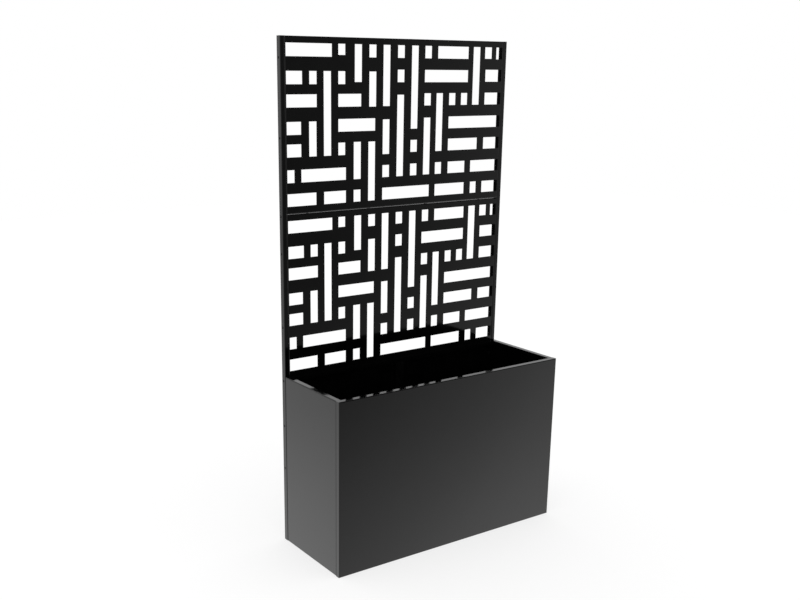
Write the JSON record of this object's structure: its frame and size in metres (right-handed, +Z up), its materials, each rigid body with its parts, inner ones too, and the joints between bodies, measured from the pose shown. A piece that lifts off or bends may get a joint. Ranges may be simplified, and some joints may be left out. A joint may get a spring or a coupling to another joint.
{
  "type": "steel planter with privacy screen",
  "caption": "Rectangular black steel floor planter with a flat rim, and pierced steel screen panels standing between slim posts behind it.",
  "frame": {"origin": "on the floor, under the middle of the whole object", "axes": "+X to the right along the front wall, +Y to the back where the screen stands, +Z up"},
  "size_m": [0.914, 0.3466, 1.664],
  "materials": {
    "black_coat": "semi-gloss powder coat",
    "black_plastic": "matt",
    "black_screw": "black oxide",
    "plain_zinc": "zinc plated"
  },
  "bodies": {
    "root": {"front_panel": "black_coat", "back_panel": "black_coat", "left_side_panel": "black_coat", "right_side_panel": "black_coat", "base_tray": "black_coat", "left_base_rib": "black_coat", "middle_base_rib": "black_coat", "right_base_rib": "black_coat", "front_stiffener": "black_coat", "back_stiffener": "black_coat", "left_corner_angle": "black_coat", "right_corner_angle": "black_coat", "left_post_angle": "black_coat", "right_post_angle": "black_coat", "left_post": "black_coat", "right_post": "black_coat", "upper_screen_panel": "black_coat", "lower_screen_panel": "black_coat", "left_post_cap": "black_plastic", "right_post_cap": "black_plastic", "left_post_foot": "black_plastic", "right_post_foot": "black_plastic", "left_screen_screws": "black_screw", "right_screen_screws": "black_screw", "left_planter_screws": "black_screw", "right_planter_screws": "black_screw", "left_screen_nuts": "black_screw", "right_screen_nuts": "black_screw", "left_planter_nuts": "black_screw", "right_planter_nuts": "black_screw", "left_angle_bolts": "black_screw", "right_angle_bolts": "black_screw", "left_angle_nuts": "black_screw", "right_angle_nuts": "black_screw", "left_corner_studs": "plain_zinc", "right_corner_studs": "plain_zinc", "left_corner_nuts": "plain_zinc", "right_corner_nuts": "plain_zinc", "seam_bolts": "plain_zinc", "seam_washers": "plain_zinc", "seam_nuts": "plain_zinc"}
  },
  "joints": []
}
